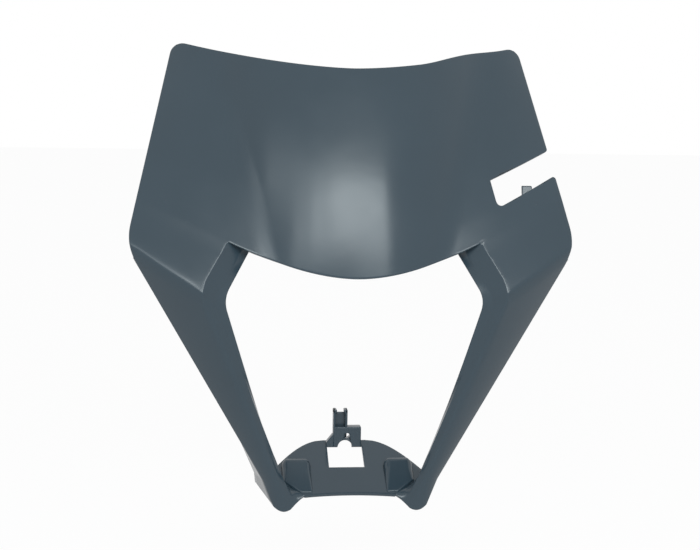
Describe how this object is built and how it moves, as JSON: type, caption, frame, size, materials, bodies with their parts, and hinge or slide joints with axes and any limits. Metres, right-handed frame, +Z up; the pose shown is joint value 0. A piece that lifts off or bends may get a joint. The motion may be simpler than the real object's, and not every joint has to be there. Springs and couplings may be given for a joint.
{
  "type": "motorcycle headlight cowl",
  "caption": "One-piece moulded headlight surround with a bulged number panel, swept wings and two legs that frame an open lamp bay above a sloping lower shelf.",
  "frame": {"origin": "midway between the seats of the two upper lamp screws, on the back of the panel", "axes": "+X to the cowl's right as seen from in front, +Y to the rear, towards the motorcycle's forks, +Z up as the cowl is worn"},
  "size_m": [0.2984, 0.1077, 0.3145],
  "materials": {
    "body": "glossy dark blue-grey injection-moulded polypropylene"
  },
  "bodies": {
    "root": {"headlight_cowl": "body"}
  },
  "joints": []
}
